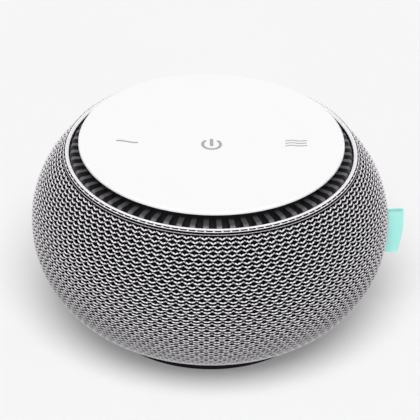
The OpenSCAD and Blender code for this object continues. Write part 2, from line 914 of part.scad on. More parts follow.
// A flat ribbon in an S between the header on the control board and the touch board
module touch_ribbon() {
    z0 = board_top + header_h + ribbon_t / 2;
    bend = (touch_z - z0 - ribbon_t / 2) / 4;
    color([0.75, 0.6, 0.3])
        translate([-ribbon_w / 2, ribbon_y, 0])
            rotate([90, 0, 90])
                linear_extrude(ribbon_w)
                    for (side = [0, 1])
                        translate([0, z0 + bend + side * 2 * bend])
                            difference() {
                                circle(r = bend + ribbon_t / 2);
                                circle(r = bend - ribbon_t / 2);
                                translate([side == 0 ? -2 * bend : 0, -2 * bend])
                                    square([2 * bend, 4 * bend]);
                            }
}

// Louvre ring

// The gap between two neighbouring fins of even thickness, from radius r0 to r1
module fin_gap(r0, r1) {
    half = 180 / fin_count;
    function edge(r, s) = [
        sqrt(r * r - fin_t * fin_t / 4) * cos(half) + fin_t / 2 * sin(half),
        s * (sqrt(r * r - fin_t * fin_t / 4) * sin(half) - fin_t / 2 * cos(half))
    ];
    polygon([edge(r0, -1), edge(r1, -1), edge(r1, 1), edge(r0, 1)]);
}

module fin_gaps(r0, r1, z0, z1) {
    translate([0, 0, z0])
        linear_extrude(z1 - z0)
            for (i = [0:fin_count - 1])
                rotate(fin_turn - 90 + (i + 0.5) * 360 / fin_count)
                    fin_gap(r0, r1);
}

module louvre_ring() {
    color(charcoal_plastic)
        difference() {
            rotate_extrude()
                union() {
                    translate([inner_in, louvre_z])
                        square([louvre_inner_t, plate_z - louvre_z]);
                    translate([inner_in, louvre_z])
                        square([louvre_r - fin_shoulder - inner_in, louvre_h]);
                    translate([inner_in, louvre_z])
                        square([louvre_r - inner_in, louvre_h - fin_shoulder]);
                    translate([louvre_r - fin_shoulder, fin_top - fin_shoulder])
                        circle(r = fin_shoulder);
                }
            fin_gaps(inner_out, louvre_r - louvre_wall, louvre_z - 1, louvre_z + louvre_band);
            fin_gaps(inner_out, louvre_r + 1, louvre_z + louvre_band, fin_top + 1);
            around(louvre_screw_x, boss_angles)
                disc(hole_r, louvre_z - 1, louvre_z + louvre_bite + tip_gap);
        }
}

module louvre_screws() {
    color(steel)
        around(louvre_screw_x, boss_angles)
            translate([0, 0, deck_z])
                mirror([0, 0, 1])
                    screw(screw_r, head_r, 0, louvre_z - deck_z + louvre_bite);
}

// Top plate and its symbols

// The open ring with its bar, centred on the ring, both with round ends
module power_symbol(grow) {
    r = power_d / 2 - power_line / 2;
    half = power_line / 2 + grow;
    half_bar = power_bar / 2 + grow;
    a0 = 47;
    a1 = 360 - a0;
    bar_low = -0.8;
    steps = 60;
    cap = 8;
    function at(a, t) =
        (r + half * cos(t)) * [sin(a), cos(a)] + half * sin(t) * [cos(a), -sin(a)];
    polygon(concat(
        [for (i = [0:steps]) at(a0 + (a1 - a0) * i / steps, 0)],
        [for (i = [1:cap - 1]) at(a1, 180 * i / cap)],
        [for (i = [steps:-1:0]) at(a0 + (a1 - a0) * i / steps, 180)],
        [for (i = [1:cap - 1]) at(a0, 180 + 180 * i / cap)]
    ));
    polygon(concat(
        [for (i = [0:cap]) half_bar * [cos(180 * i / cap), sin(180 * i / cap)] + [0, r]],
        [for (i = [0:cap]) -half_bar * [cos(180 * i / cap), sin(180 * i / cap)] + [0, bar_low]]
    ));
}

// A line of waves of height h over the given angles of a sine, that fades along its length
module wave(line, h, fade, a0, a1, grow) {
    half = line / 2 + grow;
    length = wave_l + 2 * grow;
    steps = 24;
    function swell(t) = h * (1 - fade * t) * sin(a0 + (a1 - a0) * t);
    function at(i, s) = [(i / steps - 0.5) * length, swell(i / steps) + s * half];
    polygon(concat([for (i = [0:steps]) at(i, -1)], [for (i = [steps:-1:0]) at(i, 1)]));
}

module symbols(grow) {
    rotate(symbol_turn) {
        translate([0, -power_front])
            power_symbol(grow);
        translate([-symbol_x, -wave_front])
            wave(wave_line, 0.68, 0, 60, 300, grow);
        for (place = [-1, 0, 1])
            translate([symbol_x, place * wave_step - wave_front])
                wave(fine_line, 0.3, 0.3, -60, 420, grow);
    }
}

module touch_symbols() {
    color(grey_print)
        translate([0, 0, plate_top - symbol_t])
            linear_extrude(symbol_t)
                symbols(0);
}

module top_plate() {
    color(white_plastic)
        difference() {
            rotate_extrude()
                union() {
                    translate([0, plate_z])
                        square([inner_out + plate_web, plate_t]);
                    translate([0, plate_top - plate_edge_t])
                        square([plate_r, plate_edge_t - plate_round]);
                    translate([0, plate_top - plate_round - 0.1])
                        square([plate_r - plate_round, plate_round + 0.1]);
                    translate([plate_r - plate_round, plate_top - plate_round])
                        circle(r = plate_round);
                    translate([locator_r - locator_t, plate_z - locator_h])
                        square([locator_t, locator_h + 0.1]);
                }
            translate([0, 0, plate_top - symbol_t])
                linear_extrude(symbol_t + 1)
                    symbols(seat_gap / 2);
        }
}

// Fan and rotor

module motor_shaft() {
    color(steel)
        difference() {
            disc(shaft_d / 2, shaft_z, shaft_top);
            ring(shaft_d / 2 - groove_depth, shaft_d, clip_z - seat_gap, clip_z + clip_t + seat_gap);
        }
}

module shaft_clip() {
    color(steel)
        ring(shaft_d / 2 - groove_depth + seat_gap, shaft_d / 2 + clip_w, clip_z, clip_z + clip_t);
}

module rotor_cup() {
    color(steel)
        difference() {
            union() {
                ring(cup_r - cup_wall, cup_r, cup_z, cup_top);
                disc(cup_r, cup_top - cup_wall, cup_top);
                disc(cup_hub_r, cup_top - cup_wall, cup_top + cup_hub_h);
            }
            disc(shaft_d / 2 + seat_gap / 2, cup_z, shaft_top + 1);
        }
}

module magnet_ring() {
    color([0.25, 0.24, 0.24])
        ring(magnet_in, magnet_out, stack_z - magnet_over, stack_top + magnet_over);
}

// One backward-curved blade, flat: an arc between the hub and the tips, on one side of its centre
module blade() {
    intersection() {
        difference() {
            translate([blade_centre, 0])
                circle(r = blade_arc + blade_t / 2);
            translate([blade_centre, 0])
                circle(r = blade_arc - blade_t / 2);
        }
        difference() {
            circle(r = fan_r - blade_inset);
            circle(r = fan_hub_in + fan_hub_t / 2);
        }
        square([fan_r, fan_r]);
    }
}

module impeller() {
    color(white_plastic) {
        ring(fan_hub_in, fan_hub_in + fan_hub_t, cup_z + fan_hub_rise, fan_top);
        ring(cup_hub_r + seat_gap, fan_hub_in + fan_hub_t / 2, cup_top, cup_top + fan_plate_t);
        ring(fan_hub_in, fan_r, fan_top - fan_plate_t, fan_top);
        ring(fan_r - shroud_w, fan_r, fan_z, fan_z + fan_plate_t);
        translate([0, 0, fan_z + fan_plate_t / 2])
            linear_extrude(fan_top - fan_z - fan_plate_t)
                for (i = [0:blade_count - 1])
                    rotate(i * 360 / blade_count)
                        blade();
    }
}

// Twisting shell

module frame_profile() {
    intersection() {
        side_disc(frame_out);
        difference() {
            translate([shell_bore, bearing_z])
                square([shell_d, frame_top - bearing_z]);
            intersection() {
                side_disc(frame_in);
                translate([0, shelf_z])
                    square([shell_d, shell_d]);
            }
            translate([0, bearing_top])
                square([shelf_bore, belly_z]);
            translate([0, belly_z])
                square([frame_bore, shell_d]);
        }
    }
}

module window_row(z0, z1, turn) {
    translate([0, 0, z0])
        linear_extrude(z1 - z0)
            for (i = [0:window_count - 1])
                slice(shell_d, turn + i * 360 / window_count, window_angle);
}

module shell_frame() {
    color(black_plastic)
        difference() {
            union() {
                rotate_extrude()
                    frame_profile();
                arc_block(journal_r - lug_depth, shell_bore + land_w / 2, lug_z, lug_top,
                    lug_start, lug_angle);
            }
            window_row(window_z, belly_z - hoop_h / 2, 0);
            window_row(belly_z + hoop_h / 2, window_top, 180 / window_count);
            around(shutter_x, shutter_angles)
                disc(hole_r, shelf_z - shutter_bite - tip_gap, shelf_z + 1);
        }
}

module shutter_sleeve() {
    color(charcoal_plastic)
        difference() {
            union() {
                difference() {
                    ring(shutter_in, shutter_out, shelf_z, shutter_top);
                    translate([0, 0, port_z - port_margin])
                        linear_extrude(port_top - port_z + 2 * port_margin)
                            port_slices();
                }
                ring(shutter_in, shutter_x + head_r + side_gap, shelf_z, shelf_z + shutter_flange_t);
            }
            around(shutter_x, shutter_angles)
                disc(hole_r, shelf_z - 1, shelf_z + shutter_flange_t + 1);
        }
}

module shutter_screws() {
    color(steel)
        around(shutter_x, shutter_angles)
            screw(screw_r, head_r, shelf_z + shutter_flange_t, shutter_flange_t + shutter_bite);
}

module knit_sleeve() {
    color(knit_grey)
        rotate_extrude()
            difference() {
                intersection() {
                    side_disc(side_r);
                    translate([knit_bore, knit_z])
                        square([shell_d, knit_top - knit_z]);
                }
                side_disc(knit_in);
            }
}

module rim_hem() {
    color(hem_grey)
        rotate_extrude()
            translate([rim_x, hem_z])
                circle(r = hem_r);
}

// A folded loop of tape, caught in the sleeve's seam, that follows the shell's side
module side_tag() {
    color(tag_mint)
        rotate([90, 0, 0])
            linear_extrude(tag_t, center = true)
                difference() {
                    intersection() {
                        side_disc(side_r + tag_out);
                        translate([side_x, tag_z])
                            square([shell_d, tag_h]);
                    }
                    side_disc(side_r + tag_gap);
                }
}

foot_ring();
base_pan();
slip_ring();
dc_jack();
jack_pin();
motor_mount();
isolators();
isolator_screws();
bearing_tube();
bearings();
motor_board();
stator_core();
stator_coils();
sound_drum();
drum_screws();
top_deck();
deck_screws();
main_board();
board_parts();
board_screws();
power_lead();
motor_lead();
touch_board();
touch_ribbon();
louvre_ring();
louvre_screws();
top_plate();
touch_symbols();
motor_shaft();
shaft_clip();
rotor_cup();
magnet_ring();
impeller();
shell_frame();
shutter_sleeve();
shutter_screws();
knit_sleeve();
rim_hem();
side_tag();
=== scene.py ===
import math

import bpy
import numpy as np
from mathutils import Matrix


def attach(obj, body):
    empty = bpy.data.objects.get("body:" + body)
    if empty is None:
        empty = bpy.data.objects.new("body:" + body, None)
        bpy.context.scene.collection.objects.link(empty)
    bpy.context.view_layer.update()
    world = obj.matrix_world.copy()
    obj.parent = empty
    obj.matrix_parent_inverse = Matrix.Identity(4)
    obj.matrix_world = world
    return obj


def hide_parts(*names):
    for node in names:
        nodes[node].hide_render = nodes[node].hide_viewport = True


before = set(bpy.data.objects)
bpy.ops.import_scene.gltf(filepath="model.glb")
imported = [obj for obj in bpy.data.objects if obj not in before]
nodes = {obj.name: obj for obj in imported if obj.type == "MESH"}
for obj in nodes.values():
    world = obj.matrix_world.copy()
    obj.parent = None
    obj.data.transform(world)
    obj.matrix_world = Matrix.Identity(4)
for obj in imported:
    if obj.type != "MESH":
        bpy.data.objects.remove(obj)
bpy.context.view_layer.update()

# ---- Base pan ----
# The moulded floor that everything stands on, black ABS with a fine spark-eroded grain.
# Its air slots, inlet pocket and screw bosses come out of the one tool.


class Value:
    """One socket of a finish. Sums on it add Math nodes, and node() adds any other node."""

    def __init__(self, tree, socket):
        self.tree = tree
        self.socket = socket

    def node(self, kind, settings, inputs, output=0):
        made = self.tree.nodes.new("ShaderNode" + kind)
        for name, setting in settings.items():
            setattr(made, name, setting)
        for name, value in inputs.items():
            if isinstance(value, Value):
                self.tree.links.new(value.socket, made.inputs[name])
            else:
                made.inputs[name].default_value = value
        return Value(self.tree, made.outputs[output])

    def maths(self, operation, *values):
        return self.node("Math", {"operation": operation}, dict(enumerate(values)))

    def __add__(self, other):
        return self.maths("ADD", self, other)

    __radd__ = __add__

    def __sub__(self, other):
        return self.maths("SUBTRACT", self, other)

    def __rsub__(self, other):
        return self.maths("SUBTRACT", other, self)

    def __mul__(self, other):
        return self.maths("MULTIPLY", self, other)

    __rmul__ = __mul__

    def __truediv__(self, other):
        return self.maths("DIVIDE", self, other)

    def __rtruediv__(self, other):
        return self.maths("DIVIDE", other, self)

    def __pow__(self, other):
        return self.maths("POWER", self, other)

    def __gt__(self, other):
        return self.maths("GREATER_THAN", self, other)

    def __lt__(self, other):
        return self.maths("LESS_THAN", self, other)

    def __abs__(self):
        return self.maths("ABSOLUTE", self)

    def sine(self):
        return self.maths("SINE", self)

    def limit(self, low, high):
        return self.maths("MINIMUM", self.maths("MAXIMUM", self, low), high)

    def rises(self, start, span):
        """0 up to start, 1 from start + span on, and even in between."""
        return ((self - start) / span).limit(0, 1)

    def waves(self, pitch):
        """Even waves from 0 to 1, one for each pitch in metres."""
        return (self * (2 * math.pi / pitch)).sine() * 0.5 + 0.5

    def mix(self, colour, other):
        """The first colour where this value is 0, and the other where it is 1."""
        return self.node("Mix", {"data_type": "RGBA"}, {0: self, 6: colour, 7: other}, 2)

    def scaled(self, x, y, z):
        """This place with its three directions stretched."""
        return self.node("VectorMath", {"operation": "MULTIPLY"}, {0: self, 1: (x, y, z)})

    def parts(self):
        """The three numbers of this place."""
        return [self.node("SeparateXYZ", {}, {0: self}, i) for i in range(3)]

    def noise(self, scale, detail=2.0, rough=0.5):
        """Soft noise over this place, with features of about 1 / scale metres."""
        sockets = {"Vector": self, "Scale": scale, "Detail": detail, "Roughness": rough}
        return self.node("TexNoise", {}, sockets)

    def cells(self, scale):
        """Distance to the nearest of scattered points, about 1 / scale metres apart."""
        return self.node("TexVoronoi", {}, {"Vector": self, "Scale": scale}, "Distance")


def paint(red, green, blue):
    """A colour from its 8-bit values, as linear light."""
    def linear(c):
        return c / 3294.6 if c < 11 else ((c / 255 + 0.055) / 1.055) ** 2.4
    return (linear(red), linear(green), linear(blue), 1)


def toned(colour, share):
    """The same colour at a share of its brightness."""
    return tuple(min(c * share, 1) for c in colour[:3]) + (1,)


def finish(name, **fixed):
    """A new material, its place in metres, and a call that feeds its shader."""
    material = bpy.data.materials.new(name)
    material.use_nodes = True
    tree = material.node_tree
    shader = tree.nodes["Principled BSDF"]
    for socket, value in fixed.items():
        shader.inputs[socket.replace("_", " ")].default_value = value
    place = Value(tree, tree.nodes.new("ShaderNodeTexCoord").outputs["Object"])

    def feed(colour, roughness, height=None, depth=0.0):
        values = {"Base Color": colour, "Roughness": roughness}
        if height is not None:
            sockets = {"Strength": 1, "Distance": depth, "Height": height}
            values["Normal"] = place.node("Bump", {}, sockets)
        for socket, value in values.items():
            tree.links.new(value.socket, shader.inputs[socket])
    return material, place, feed


def moulded(name, colour, rough, grain, depth, cloudy=0.055, **fixed):
    """Moulded plastic: grain from the tool, and faint clouds where the melt flowed."""
    material, place, feed = finish(name, **fixed)
    clouds = place.noise(45, 3)
    pits = place.noise(grain, 2, 0.6)
    colour = clouds.mix(toned(colour, 1 - cloudy), toned(colour, 1 + cloudy))
    feed(colour, rough + (pits - 0.5) * 0.16 + (clouds - 0.5) * 0.06, pits, depth)
    return material


def dress(material, *names):
    """One finish on each of the pieces named."""
    for name in names:
        for slot in nodes[name].material_slots:
            slot.material = material


base_black = moulded("base_black", paint(27, 27, 29), 0.5, 2600, 9e-6)
dress(base_black, "base_pan")

# ---- Foot ring and slip ring ----
# A soft rubber ring pressed into the pan keeps the machine from walking.
# The twisting body slides on a low-friction ring of white acetal.
foot_rubber, place, feed = finish("foot_rubber", Specular_IOR_Level=0.3)
dust = place.noise(180, 4, 0.6)
skin = place.noise(5200, 1)
feed(dust.mix(paint(18, 18, 19), paint(34, 33, 33)), 0.72 + dust * 0.2, skin, 1e-5)
dress(foot_rubber, "foot_ring")
slip_white = moulded("slip_white", paint(228, 227, 222), 0.32, 1800, 2e-6)
dress(slip_white, "slip_ring")


# ---- Power inlet ----
# A barrel socket moulded in black nylon, with a turned brass pin in its bore.
# Its lead runs up inside to the control board, in a soft sleeve.
def turned(name, colour, rough):
    """Turned or ground metal: fine rings about the upright axis, and a few dull spots."""
    material, place, feed = finish(name, Metallic=1.0)
    rings = place.scaled(1, 1, 25).noise(360, 2, 0.7)
    spots = place.noise(320, 3)
    colour = spots.mix(toned(colour, 0.86), toned(colour, 1.06))
    feed(colour, rough + (rings - 0.5) * 0.2 + (spots - 0.5) * 0.12, rings, 1.5e-6)
    return material


def sleeved(name, colour):
    """A lead's soft sleeve, slightly ribbed where it was drawn, and half matt."""
    material, place, feed = finish(name)
    ribs = place.noise(1400, 2)
    rub = place.noise(90, 3)
    colour = rub.mix(toned(colour, 0.85), toned(colour, 1.15))
    feed(colour, 0.42 + ribs * 0.12, ribs, 1e-5)
    return material


chip_black = moulded("chip_black", paint(34, 34, 36), 0.45, 4200, 5e-6)
brass = turned("brass", paint(222, 186, 112), 0.26)
lead_black = sleeved("lead_black", paint(38, 38, 38))
dress(chip_black, "dc_jack")
dress(brass, "jack_pin")
dress(lead_black, "power_lead")

# ---- Motor mount ----
# A spider of charcoal ABS on three rubber isolators, held by zinc-plated screws.
# It keeps the motor's hum out of the pan.
mount_charcoal = moulded("mount_charcoal", paint(70, 70, 73), 0.48, 2600, 9e-6)
screw_steel = turned("screw_steel", paint(196, 198, 202), 0.3)
dress(mount_charcoal, "motor_mount")
dress(foot_rubber, "isolators")
dress(screw_steel, "isolator_screws")

# ---- Bushes, motor board, stator ----
# Two sintered bronze bushes sit in the brass tube. Round it stand the green driver board,
# the stack of stamped laminations and nine coils of lacquered copper wire.
sheet_pitch = 0.0005
wire_pitch = 0.0006
bush_bronze, place, feed = finish("bush_bronze", Metallic=1.0)
pores = place.cells(5200)
oil = place.noise(260, 3)
feed(oil.mix(paint(150, 116, 70), paint(190, 150, 96)), 0.34 + pores * 0.3, pores, 1.2e-5)
dress(brass, "bearing_tube")
dress(bush_bronze, "bearings")

board_green, place, feed = finish("board_green")
across, along = place.parts()[:2]
lanes = (across * 900).sine() * (along * 620 + (across * 210).sine() * 2).sine()
tracks = (abs(lanes) < 0.22) * (place.noise(70, 1) > 0.42)
pads = place.cells(420) < 0.22
lacquer = tracks.mix(paint(18, 92, 58), paint(34, 128, 80))
lacquer = (pads * (1 - tracks)).mix(lacquer, paint(196, 190, 168))
feed(lacquer, 0.34 + place.noise(600, 2) * 0.12, tracks + pads, 1.5e-5)
dress(board_green, "motor_board")

stator_steel, place, feed = finish("stator_steel", Metallic=1.0)
up = place.parts()[2]
sheets = up.waves(sheet_pitch)
scale = place.noise(500, 3)
steel = sheets.mix(paint(92, 94, 98), paint(176, 178, 182))
feed(steel, 0.38 + scale * 0.2, sheets, 3e-5)
dress(stator_steel, "stator_core")

copper, place, feed = finish("copper", Metallic=0.9)
across, along, up = place.parts()
wires = (up + across * 0.35 + along * 0.35).waves(wire_pitch)
glaze = place.noise(300, 2)
wire = wires.mix(paint(120, 58, 30), paint(224, 138, 84))
feed(wire, 0.3 + glaze * 0.15, wires, 6e-5)
dress(copper, "stator_coils")

# ---- Sound drum and top deck ----
# The drum round the fan makes the rush of air; its ports meet the shutter's.
# The deck closes it and carries the control board. Both are charcoal ABS.
dress(mount_charcoal, "sound_drum", "top_deck")
dress(screw_steel, "drum_screws", "deck_screws")

# ---- Control board, touch board and ribbon ----
# Epoxy-cased parts on the green boards. The amber film ribbon has copper conductors
# laminated inside, and joins the touch board under the plate to the control board.
conductor_pitch = 0.001
lead_red = sleeved("lead_red", paint(176, 40, 36))
ribbon_amber, place, feed = finish("ribbon_amber")
across = place.parts()[0]
stripes = ((across * (2 * math.pi / conductor_pitch)).sine() * 3 + 0.5).limit(0, 1)
film = stripes.mix(paint(206, 140, 44), paint(166, 92, 34))
feed(film, 0.22 + place.noise(400, 2) * 0.1, stripes, 1e-5)
dress(board_green, "main_board", "touch_board")
dress(chip_black, "board_parts")
dress(screw_steel, "board_screws")
dress(lead_red, "motor_lead")
dress(ribbon_amber, "touch_ribbon")

# ---- Louvre ring ----
# Radial fins in one charcoal moulding, satin at their ends and spark-eroded within,
# screwed up through the deck. Air and sound leave between them, under the plate's edge.
# Their colour carries painted light and shade: a painted highlight on the fins' up-facing
# faces and outer ends, painted shade on their upper faces under the plate and high on the
# flanks, and painted fill light deep between the fins.
fins_from = 0.047
ring_wall = 0.0535
soft_edge = 0.002
lit_from = 0.0685
louvre_charcoal, place, feed = finish("louvre_charcoal", Specular_IOR_Level=0.4)
across, along, up = place.parts()
reach = (across * across + along * along) ** 0.5
faces_up = place.node("NewGeometry", {}, {}, "Normal").parts()[2]
# Faces turned up are painted lighter, a painted highlight where the light falls on them.
painted_lit_tops = faces_up.rises(0.3, 0.3) * reach.rises(fins_from, soft_edge)
outside = reach.rises(ring_wall, soft_edge)
satin_and_painted_light = (painted_lit_tops + outside).limit(0, 1) * up.rises(lit_from, 0.005)
clouds = place.noise(60, 3)
pits = place.noise(3200, 2, 0.6)
# Painted highlight on the outer ends, and painted shade on the upper faces under the plate's
# edge.
ends = clouds.mix(paint(98, 98, 101), paint(108, 107, 110))
ends = outside.mix(paint(72, 71, 74), ends)
# Painted shade high on the flanks under the plate, and painted fill light lower down in the
# gaps.
depths = up.rises(lit_from, 0.006).mix(paint(76, 71, 78), paint(17, 16, 19))
feed(satin_and_painted_light.mix(depths, ends), 0.62 - satin_and_painted_light * 0.2 + (pits - 0.5) * 0.16, pits, 5e-6)
dress(louvre_charcoal, "louvre_ring")
dress(screw_steel, "louvre_screws")

# ---- Top plate ----
# A disc of satin white ABS clipped over the louvres, its symbols inlaid flush in grey.
# The three touch fields work through it, so nothing on it moves.
plate_white = moulded(
    "plate_white", paint(247, 247, 247), 0.5, 3600, 2.5e-6, 0.006, Specular_IOR_Level=0.16
)
symbol_grey = moulded("symbol_grey", paint(168, 168, 168), 0.5, 3600, 2e-6)
dress(plate_white, "top_plate")
dress(symbol_grey, "touch_symbols")

# ---- Fan and rotor ----
# A white moulded wheel on a deep-drawn steel cup, which holds the ring of bonded ferrite.
# The ground shaft runs in the bushes and is kept by a clip.
fan_white = moulded("fan_white", paint(226, 227, 228), 0.4, 2600, 6e-6)
magnet_grey, place, feed = finish("magnet_grey")
grit = place.noise(3600, 2)
feed(grit.mix(paint(46, 46, 50), paint(82, 82, 86)), 0.62 + grit * 0.2, grit, 1.5e-5)
dress(fan_white, "impeller")
dress(screw_steel, "rotor_cup", "motor_shaft", "shaft_clip")
dress(magnet_grey, "magnet_ring")

# ---- Twisting frame and shutter ----
# The moulded cage that the fabric is stretched over, open in wide windows.
# The shutter sleeve screwed inside it turns past the drum's ports and tunes the tone.
dress(base_black, "shell_frame")
dress(mount_charcoal, "shutter_sleeve")
dress(screw_steel, "shutter_screws")

# ---- Knitted sleeve ----
# A tube of stretch knit: thick white yarn laid in zigzag rows over black, with the rows
# shifted half a stitch every second row. It is pulled over the cage and caught at both ends.
mm = 0.001
side_x = 28 * mm
belly_z = 43 * mm
side_r = 43 * mm
columns = 110
row_count = 57
rim_angle = 42.8
row_steps = np.interp(
    np.arange(row_count), [0, 10, 20, 30, 40, 56], [2.22, 2.06, 1.87, 1.76, 1.8, 1.9]
)
row_angles = np.radians(rim_angle + row_steps[0] - np.cumsum(row_steps))
first_dip = math.radians(-88.61)


def on_side(angle, turn, out):
    """Points of the round side: angle up its arc, turn about the axis, out from its centre."""
    reach = side_x + out * np.cos(angle)
    height = belly_z + out * np.sin(angle)
    return np.stack([reach * np.cos(turn), reach * np.sin(turn), height + 0 * turn], -1)


def put(name, data):
    """A new object in the scene, at the frame's origin."""
    made = bpy.data.objects.new(name, data)
    bpy.context.scene.collection.objects.link(made)
    return made


def grid_piece(name, points, material):
    """A smooth mesh of bands that close both ways: points are (bands, along, across, xyz)."""
    bands, along, across, _ = points.shape
    mesh = bpy.data.meshes.new(name)
    number = np.arange(bands * along * across).reshape(bands, along, across)
    after = np.roll(number, -1, 1)
    quads = np.stack([number, after, np.roll(after, -1, 2), np.roll(number, -1, 2)], -1)
    quads = quads.reshape(-1, 4)
    mesh.vertices.add(number.size)
    mesh.vertices.foreach_set("co", points.astype(np.float32).ravel())
    mesh.loops.add(quads.size)
    mesh.loops.foreach_set("vertex_index", quads.astype(np.int32).ravel())
    mesh.polygons.add(len(quads))
    mesh.polygons.foreach_set("loop_start", np.arange(0, quads.size, 4, dtype=np.int32))
    mesh.polygons.foreach_set("use_smooth", np.full(len(quads), True))
    # Each band has its own strip of the flat map, with a little room between strips.
    u = np.arange(along)[None, :, None, None] / along + np.array([0, 1, 1, 0]) / along
    v = (np.arange(across)[None, None, :, None] + np.array([0, 0, 1, 1])) / across
    v = (np.arange(bands)[:, None, None, None] + 0.02 + 0.96 * v) / bands
    flat = np.stack(np.broadcast_arrays(u, v), -1)
    mesh.uv_layers.new(name="OFBake").data.foreach_set("uv", flat.astype(np.float32).ravel())
    mesh.update(calc_edges=True)
    mesh.validate()
    mesh.materials.append(material)
    return put(name, mesh)


def rings_about(paths, ahead, outward, wide, thick, turn):
    """Points of the rings about each path, at the turns given. Both sizes are halves."""
    ahead = ahead / np.linalg.norm(ahead, axis=-1, keepdims=True)
    across = np.cross(ahead, outward)
    across /= np.linalg.norm(across, axis=-1, keepdims=True)
    proud = np.cross(across, ahead)
    wide = np.asarray(wide)[..., None, None] * np.cos(turn)[:, None]
    thick = np.asarray(thick)[..., None, None] * np.sin(turn)[:, None]
    return paths[:, :, None] + wide * across[:, :, None] + thick * proud[:, :, None]


def tubes(paths, outward, wide, thick, sides):
    """Round or flattened yarn along closed paths."""
    ahead = np.roll(paths, -1, 1) - np.roll(paths, 1, 1)
    turn = 2 * np.pi * (np.arange(sides) + 0.5) / sides
    return rings_about(paths, ahead, outward, wide, thick, turn)


def yarn(name, light, dark, rough, nap=0.1, gloss=0.2):
    """Spun yarn: loose fibres, slubs of other shade, a soft nap, and darker where it sinks in,
    as painted shade together with the black fibres that cross it there.
    """
    material, place, feed = finish(
        name, Sheen_Weight=nap, Sheen_Roughness=0.6, Specular_IOR_Level=gloss
    )
    fibres = place.scaled(1, 1, 2.2).noise(3800, 3, 0.65)
    slubs = place.noise(420, 2)
    shade = (fibres * 0.7 + slubs * 0.5).limit(0, 1)
    painted_sink_shade = place.node("Attribute", {"attribute_name": "painted_sink_shade"}, {}, "Fac")
    # Where the yarn sinks in it takes painted shade, a dark grey that also stands for the black
    # fibres crossing it.
    colour = painted_sink_shade.mix(shade.mix(dark, light), paint(52, 48, 54))
    feed(colour, rough + fibres * 0.2, fibres, 4e-5)
    return material


white_yarn = yarn("white_yarn", paint(255, 253, 255), paint(222, 216, 224), 0.75)
black_yarn = yarn("black_yarn", paint(14, 13, 16), paint(5, 5, 6), 0.8, 0, 0.06)

# Half of one stitch, from the dip of its V to the top of the loop behind. Each point has its
# share of the pitch, height, how proud it stands, half its width and how far it sinks in, which
# sets the painted shade on the white yarn there.
stitch = np.array(
    [
        (0.00, -0.46, -0.12, 0.22, 0.10),
        (0.13, -0.18, 0.14, 0.34, 0.00),
        (0.265, 0.12, 0.36, 0.30, 0.00),
        (0.315, -0.16, -0.34, 0.10, 1.00),
        (0.37, 0.04, -0.10, 0.15, 0.55),
        (0.43, 0.36, -0.06, 0.18, 0.28),
        (0.50, 0.54, -0.08, 0.21, 0.12),
    ]
)
# Towards the foot the cloth is less stretched, and the yarn runs on in a plain zigzag.
plain_stitch = np.array(
    [
        (0.00, -0.46, -0.12, 0.22, 0.10),
        (0.13, -0.18, 0.02, 0.27, 0.00),
        (0.265, 0.12, 0.10, 0.25, 0.00),
        (0.315, 0.19, 0.06, 0.20, 0.10),
        (0.37, 0.28, 0.00, 0.18, 0.20),
        (0.43, 0.40, -0.06, 0.17, 0.25),
        (0.50, 0.50, -0.10, 0.17, 0.25),
    ]
)
# The black yarn follows the V, and swells to lenses where the rows above and below part.
black_at = np.array([0, 0.13, 0.25, 0.37, 0.5])
black_rise = np.array([-0.48, -0.1, 0.1, 0.3, 0.54]) * mm
black_wide = np.array([0.34, 0.5, 0.42, 0.28, 0.3]) * mm
lens_wide = np.array([0.08, 0.2, 0.32, 0.4, 0.42]) * mm

# Where down the side the cloth starts to slacken, lie flatter and tuck in to the foot, each
# with the span it comes on over, as angles of the side's arc in radians. Then how deep the
# tuck is, and how much of the plain stitch the slackest cloth takes.
slackened = (0.1, 0.6)
flattened = (-0.25, 0.5)
tucked = (-0.65, 0.3)
foot_tuck = 0.42 * mm
plain_share = 0.75


def below(angle, top, span):
    """0 above an angle of the side's arc, and 1 from a span under it, both in radians."""
    return min(max((top - angle) / span, 0), 1)


def knit_rows(name, rows, sides, thick, out, black):
    """Rows of looped yarn round the whole side, as one piece. They lie closer at the belly."""
    paths = []
    normals = []
    widths = []
    depths = []
    for row in rows:
        close = row_steps[row] / row_steps[0]
        angle = row_angles[row]
        slack = below(angle, *slackened)
        low = below(angle, *flattened)
        tuck = below(angle, *tucked) * foot_tuck
        half_loop = stitch + (plain_stitch - stitch) * plain_share * slack
        other_half = (half_loop * (-1, 1, 1, 1, 1) + (1, 0, 0, 0, 0))[5:0:-1]
        loop = np.concatenate([half_loop, other_half])
        if black:
            loop = loop[::2]
        share, rise, proud, wide, painted_sink_shade = np.tile(loop.T, columns)
        share = share + np.repeat(np.arange(columns), len(loop))
        shift = 0.5 * ((row // 2) % 2)
        turn = first_dip + (share + shift) * 2 * np.pi / columns
        if black:
            angle = angle - math.radians(row_steps[row]) / 2
            flat = row % 2
            nearest = np.minimum(share % 1, -share % 1)
            lift = 0 if flat else close * np.interp(nearest, black_at, black_rise)
            across = close * np.interp(nearest, black_at, lens_wide if flat else black_wide)
            across = across * (1 + 0.1 * slack - 0.1 * low)
            height = out - 0.08 * mm * low - tuck
        else:
            lift = close * rise * mm
            across = close * (wide + 0.05 * low) * mm
            height = out + proud * mm * (1 - 0.7 * low) - tuck
        paths.append(on_side(angle + lift / side_r, turn, height))
        normals.append(paths[-1] - on_side(angle + lift / side_r, turn, 0.0))
        widths.append(across)
        depths.append(painted_sink_shade)
    rings = tubes(np.array(paths), np.array(normals), np.array(widths), thick, sides)
    piece = grid_piece(name, rings, black_yarn if black else white_yarn)
    # The white rows carry how far each point sinks in, for the yarn's painted shade.
    if not black:
        shade = piece.data.attributes.new("painted_sink_shade", "FLOAT", "POINT")
        every = np.repeat(np.concatenate(depths), sides)
        shade.data.foreach_set("value", every.astype(np.float32))
    return piece


